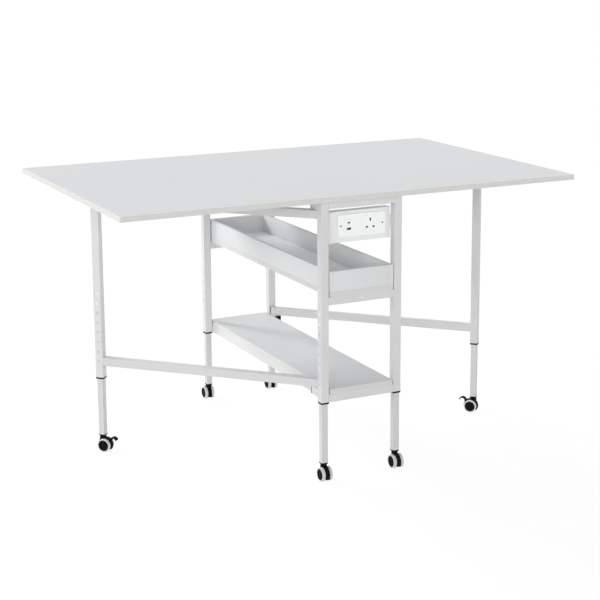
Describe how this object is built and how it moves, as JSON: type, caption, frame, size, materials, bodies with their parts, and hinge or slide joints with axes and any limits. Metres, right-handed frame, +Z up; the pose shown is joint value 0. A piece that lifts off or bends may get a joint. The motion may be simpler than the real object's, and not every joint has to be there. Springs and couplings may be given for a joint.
{
  "type": "folding sewing cutting table",
  "caption": "White drop-leaf cutting table with two gate legs, an open tray, a shelf, a socket box and height-adjustable feet on twin-wheel casters.",
  "frame": {"origin": "on the floor under the centre of the table top, which is also the middle of the whole table's box", "axes": "+X along the table's length towards the right leaf, +Y across the depth away from the socket end, +Z up"},
  "size_m": [1.5, 0.955, 0.867],
  "materials": {
    "white_board": "white melamine-faced board, satin",
    "white_steel": "white powder coat",
    "white_screw": "white painted heads",
    "white_plastic": "gloss white",
    "black_plastic": "matt black moulding",
    "wheel": "grey tread on a black hub",
    "zinc_steel": "zinc plated",
    "nylon": "natural nylon"
  },
  "bodies": {
    "frame": {"centre_panel": "white_board", "frame_hinges": "zinc_steel", "frame_legs": "white_steel", "leg_collars": "black_plastic", "height_screws": "white_screw", "top_end_rails": "white_steel", "cross_rails": "white_steel", "side_rails": "white_steel", "rail_screws": "white_screw", "tray_base": "white_board", "tray_walls": "white_board", "shelf_board": "white_board", "pivot_stubs": "white_steel", "stub_plugs": "black_plastic", "pivot_bolts": "zinc_steel", "pivot_washers": "nylon", "socket_housing": "white_steel", "socket_faceplate": "white_plastic", "outlet_front": "white_plastic", "charger_front": "white_plastic", "module_backs": "white_plastic", "faceplate_screws": "white_screw"},
    "leaf_left": {"leaf_left_panel": "white_board", "leaf_left_hinges": "zinc_steel"},
    "leaf_right": {"leaf_right_panel": "white_board", "leaf_right_hinges": "zinc_steel"},
    "gate_left": {"gate_left_post": "white_steel", "gate_left_rails": "white_steel", "gate_left_caps": "black_plastic", "gate_left_screws": "white_screw"},
    "gate_right": {"gate_right_post": "white_steel", "gate_right_rails": "white_steel", "gate_right_caps": "black_plastic", "gate_right_screws": "white_screw"},
    "foot_near_left": {"foot_near_left_tube": "white_steel", "foot_near_left_plug": "black_plastic"},
    "caster_near_left": {"caster_near_left_body": "black_plastic"},
    "wheels_near_left": {"caster_near_left_wheels": "wheel"},
    "foot_near_right": {"foot_near_right_tube": "white_steel", "foot_near_right_plug": "black_plastic"},
    "caster_near_right": {"caster_near_right_body": "black_plastic"},
    "wheels_near_right": {"caster_near_right_wheels": "wheel"},
    "foot_far_left": {"foot_far_left_tube": "white_steel", "foot_far_left_plug": "black_plastic"},
    "caster_far_left": {"caster_far_left_body": "black_plastic"},
    "wheels_far_left": {"caster_far_left_wheels": "wheel"},
    "foot_far_right": {"foot_far_right_tube": "white_steel", "foot_far_right_plug": "black_plastic"},
    "caster_far_right": {"caster_far_right_body": "black_plastic"},
    "wheels_far_right": {"caster_far_right_wheels": "wheel"},
    "foot_gate_left": {"foot_gate_left_tube": "white_steel", "foot_gate_left_plug": "black_plastic"},
    "caster_gate_left": {"caster_gate_left_body": "black_plastic"},
    "wheels_gate_left": {"caster_gate_left_wheels": "wheel"},
    "lever_gate_left": {"caster_gate_left_lever": "black_plastic"},
    "foot_gate_right": {"foot_gate_right_tube": "white_steel", "foot_gate_right_plug": "black_plastic"},
    "caster_gate_right": {"caster_gate_right_body": "black_plastic"},
    "wheels_gate_right": {"caster_gate_right_wheels": "wheel"},
    "lever_gate_right": {"caster_gate_right_lever": "black_plastic"}
  },
  "joints": [
    {"name": "leaf_left_hinge", "type": "hinge", "parent": "frame", "child": "leaf_left", "pos_m": [-0.17825, 0, 0.8478], "axis": [0, 1, 0], "range_deg": [0, 1.2]},
    {"name": "leaf_right_hinge", "type": "hinge", "parent": "frame", "child": "leaf_right", "pos_m": [0.17825, 0, 0.8478], "axis": [0, -1, 0], "range_deg": [0, 1.2]},
    {"name": "gate_left_hinge", "type": "hinge", "parent": "frame", "child": "gate_left", "pos_m": [-0.1225, -0.4125, 0.3], "axis": [0, 0, -1], "range_deg": [0, 44.2]},
    {"name": "gate_right_hinge", "type": "hinge", "parent": "frame", "child": "gate_right", "pos_m": [0.1225, 0.4125, 0.3], "axis": [0, 0, -1], "range_deg": [0, 44.2]},
    {"name": "foot_near_left_slide", "type": "slide", "parent": "frame", "child": "foot_near_left", "axis": [0, 0, -1], "range_m": [0, 0.186]},
    {"name": "caster_near_left_swivel", "type": "hinge", "parent": "foot_near_left", "child": "caster_near_left", "pos_m": [-0.1225, -0.445, 0.053], "axis": [0, 0, 1], "continuous": true},
    {"name": "caster_near_left_roll", "type": "hinge", "parent": "caster_near_left", "child": "wheels_near_left", "pos_m": [-0.1225, -0.453, 0.0215], "axis": [1, 0, 0], "continuous": true},
    {"name": "foot_near_right_slide", "type": "slide", "parent": "frame", "child": "foot_near_right", "axis": [0, 0, -1], "range_m": [0, 0.186]},
    {"name": "caster_near_right_swivel", "type": "hinge", "parent": "foot_near_right", "child": "caster_near_right", "pos_m": [0.1225, -0.445, 0.053], "axis": [0, 0, 1], "continuous": true},
    {"name": "caster_near_right_roll", "type": "hinge", "parent": "caster_near_right", "child": "wheels_near_right", "pos_m": [0.1225, -0.453, 0.0215], "axis": [1, 0, 0], "continuous": true},
    {"name": "foot_far_left_slide", "type": "slide", "parent": "frame", "child": "foot_far_left", "axis": [0, 0, -1], "range_m": [0, 0.186]},
    {"name": "caster_far_left_swivel", "type": "hinge", "parent": "foot_far_left", "child": "caster_far_left", "pos_m": [-0.1225, 0.445, 0.053], "axis": [0, 0, 1], "continuous": true},
    {"name": "caster_far_left_roll", "type": "hinge", "parent": "caster_far_left", "child": "wheels_far_left", "pos_m": [-0.1225, 0.453, 0.0215], "axis": [-1, 0, 0], "continuous": true},
    {"name": "foot_far_right_slide", "type": "slide", "parent": "frame", "child": "foot_far_right", "axis": [0, 0, -1], "range_m": [0, 0.186]},
    {"name": "caster_far_right_swivel", "type": "hinge", "parent": "foot_far_right", "child": "caster_far_right", "pos_m": [0.1225, 0.445, 0.053], "axis": [0, 0, 1], "continuous": true},
    {"name": "caster_far_right_roll", "type": "hinge", "parent": "caster_far_right", "child": "wheels_far_right", "pos_m": [0.1225, 0.453, 0.0215], "axis": [-1, 0, 0], "continuous": true},
    {"name": "foot_gate_left_slide", "type": "slide", "parent": "gate_left", "child": "foot_gate_left", "axis": [0, 0, -1], "range_m": [0, 0.186]},
    {"name": "caster_gate_left_swivel", "type": "hinge", "parent": "foot_gate_left", "child": "caster_gate_left", "pos_m": [-0.6269, 0.10618, 0.053], "axis": [0, 0, 1], "continuous": true},
    {"name": "caster_gate_left_roll", "type": "hinge", "parent": "caster_gate_left", "child": "wheels_gate_left", "pos_m": [-0.62155, 0.10024, 0.0215], "axis": [0.7431, 0.6691, 0], "continuous": true},
    {"name": "lever_gate_left_hinge", "type": "hinge", "parent": "caster_gate_left", "child": "lever_gate_left", "pos_m": [-0.60883, 0.08612, 0.039], "axis": [0.7431, 0.6691, 0], "range_deg": [0, 14]},
    {"name": "foot_gate_right_slide", "type": "slide", "parent": "gate_right", "child": "foot_gate_right", "axis": [0, 0, -1], "range_m": [0, 0.186]},
    {"name": "caster_gate_right_swivel", "type": "hinge", "parent": "foot_gate_right", "child": "caster_gate_right", "pos_m": [0.6269, -0.10618, 0.053], "axis": [0, 0, 1], "continuous": true},
    {"name": "caster_gate_right_roll", "type": "hinge", "parent": "caster_gate_right", "child": "wheels_gate_right", "pos_m": [0.62155, -0.10024, 0.0215], "axis": [-0.7431, -0.6691, 0], "continuous": true},
    {"name": "lever_gate_right_hinge", "type": "hinge", "parent": "caster_gate_right", "child": "lever_gate_right", "pos_m": [0.60883, -0.08612, 0.039], "axis": [-0.7431, -0.6691, 0], "range_deg": [0, 14]}
  ]
}
